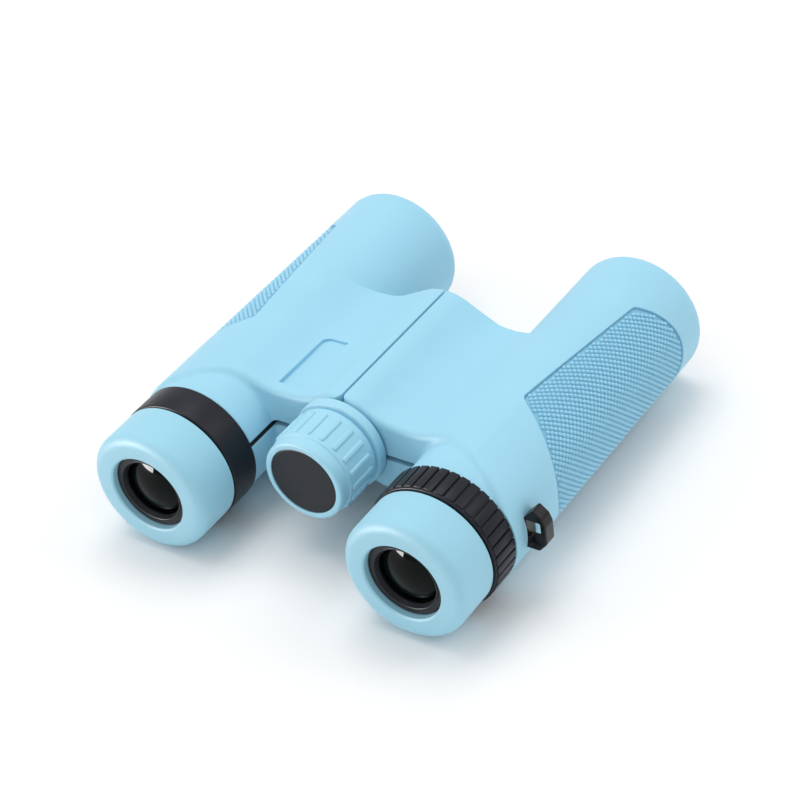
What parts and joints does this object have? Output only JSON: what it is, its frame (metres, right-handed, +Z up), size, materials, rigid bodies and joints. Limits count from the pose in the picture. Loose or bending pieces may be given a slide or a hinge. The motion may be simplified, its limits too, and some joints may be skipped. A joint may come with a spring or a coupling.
{
  "type": "binoculars",
  "caption": "Compact folding binoculars with rubber-covered barrels, a central focus knob, twist-up eyecups and one strap lug.",
  "frame": {"origin": "middle of the underside: the plane on which the two barrels rest, halfway between the optical axes and halfway along the length", "axes": "+X to the user's right, +Y forwards to the objectives, +Z up"},
  "size_m": [0.1075, 0.112, 0.034],
  "materials": {
    "skin": "soft matte light blue rubber skin",
    "hard_body": "black glass-filled plastic, fine matte",
    "black_trim": "black satin plastic",
    "gloss_trim": "black glossy plastic",
    "knob_skin": "soft matte light blue rubber",
    "cup": "soft matte light blue rubber",
    "inner_black": "blackened matte plastic",
    "coated_glass": "polished glass with a green anti-reflection coating",
    "front_glass": "polished glass with a faint violet coating",
    "prism_glass": "ground and polished prism glass",
    "steel": "bright turned steel",
    "brass": "turned brass",
    "washer_plastic": "natural nylon",
    "seal_rubber": "black rubber"
  },
  "bodies": {
    "left_half": {"left_chassis": "hard_body", "left_armour": "skin", "left_eyepiece_tube": "black_trim", "left_eye_lens": "coated_glass", "left_eye_ring": "black_trim", "left_field_stop": "inner_black", "left_prism_holder": "inner_black", "left_roof_prism": "prism_glass", "left_half_penta_prism": "prism_glass", "left_prism_clip": "steel", "left_objective_cell": "inner_black", "left_objective_lens": "front_glass", "left_objective_ring": "black_trim", "left_band": "black_trim", "left_field_lens": "coated_glass", "left_field_cell": "inner_black", "hinge_pin": "steel", "hinge_bush": "brass", "hinge_washers": "washer_plastic", "hinge_cap": "black_trim", "hinge_guide_pin": "steel", "knob_seal": "seal_rubber"},
    "right_half": {"right_chassis": "hard_body", "right_armour": "skin", "right_eyepiece_tube": "black_trim", "right_eye_lens": "coated_glass", "right_eye_ring": "black_trim", "right_field_stop": "inner_black", "right_prism_holder": "inner_black", "right_roof_prism": "prism_glass", "right_half_penta_prism": "prism_glass", "right_prism_clip": "steel", "right_objective_cell": "inner_black", "right_objective_lens": "front_glass", "right_objective_ring": "black_trim", "right_strap_lug": "gloss_trim"},
    "focus_knob": {"focus_knob": "knob_skin", "knob_disc": "black_trim", "knob_hub": "brass", "knob_screw": "steel", "focus_screw": "steel"},
    "focus_shuttle": {"focus_shuttle": "brass"},
    "left_focus_unit": {"left_focus_carrier": "inner_black", "left_focus_lens": "coated_glass"},
    "right_focus_unit": {"right_focus_carrier": "inner_black", "right_focus_lens": "coated_glass"},
    "diopter_ring": {"right_diopter_ring": "black_trim"},
    "diopter_cell": {"right_diopter_cell": "inner_black", "right_field_lens": "coated_glass"},
    "left_eyecup_sleeve": {"left_eyecup_sleeve": "black_trim"},
    "left_eyecup": {"left_eyecup": "cup"},
    "right_eyecup_sleeve": {"right_eyecup_sleeve": "black_trim"},
    "right_eyecup": {"right_eyecup": "cup"}
  },
  "joints": [
    {"name": "bridge_hinge", "type": "hinge", "parent": "left_half", "child": "right_half", "pos_m": [0, 0, 0.0222], "axis": [0, 1, 0], "range_deg": [0, 57]},
    {"name": "focus_knob_turn", "type": "hinge", "parent": "left_half", "child": "focus_knob", "pos_m": [0, -0.034, 0.0222], "axis": [0, 1, 0], "range_deg": [-270, 270]},
    {"name": "focus_shuttle_slide", "type": "slide", "parent": "left_half", "child": "focus_shuttle", "axis": [0, 1, 0], "range_m": [-0.0016, 0.0016]},
    {"name": "left_focus_slide", "type": "slide", "parent": "left_half", "child": "left_focus_unit", "axis": [0, 1, 0], "range_m": [-0.0016, 0.0016]},
    {"name": "right_focus_slide", "type": "slide", "parent": "right_half", "child": "right_focus_unit", "axis": [0, 1, 0], "range_m": [-0.0016, 0.0016]},
    {"name": "diopter_turn", "type": "hinge", "parent": "right_half", "child": "diopter_ring", "pos_m": [0.035, -0.039, 0.0166], "axis": [0, 1, 0], "range_deg": [-50, 50]},
    {"name": "diopter_slide", "type": "slide", "parent": "right_half", "child": "diopter_cell", "axis": [0, 1, 0], "range_m": [-0.0011, 0.0011]},
    {"name": "left_eyecup_turn", "type": "hinge", "parent": "left_half", "child": "left_eyecup_sleeve", "pos_m": [-0.035, -0.048, 0.0166], "axis": [0, -1, 0], "range_deg": [0, 120]},
    {"name": "left_eyecup_slide", "type": "slide", "parent": "left_eyecup_sleeve", "child": "left_eyecup", "axis": [0, -1, 0], "range_m": [0, 0.0061]},
    {"name": "right_eyecup_turn", "type": "hinge", "parent": "right_half", "child": "right_eyecup_sleeve", "pos_m": [0.035, -0.048, 0.0166], "axis": [0, -1, 0], "range_deg": [0, 120]},
    {"name": "right_eyecup_slide", "type": "slide", "parent": "right_eyecup_sleeve", "child": "right_eyecup", "axis": [0, -1, 0], "range_m": [0, 0.0061]}
  ],
  "couplings": [
    {"joint": "focus_shuttle_slide", "follows": "focus_knob_turn", "m_per_rad": 0.00031831},
    {"joint": "left_focus_slide", "follows": "focus_knob_turn", "m_per_rad": 0.00031831},
    {"joint": "right_focus_slide", "follows": "focus_knob_turn", "m_per_rad": 0.00031831},
    {"joint": "diopter_slide", "follows": "diopter_turn", "m_per_rad": 0.0011459},
    {"joint": "left_eyecup_slide", "follows": "left_eyecup_turn", "m_per_rad": 0.0028648},
    {"joint": "right_eyecup_slide", "follows": "right_eyecup_turn", "m_per_rad": 0.0028648}
  ]
}
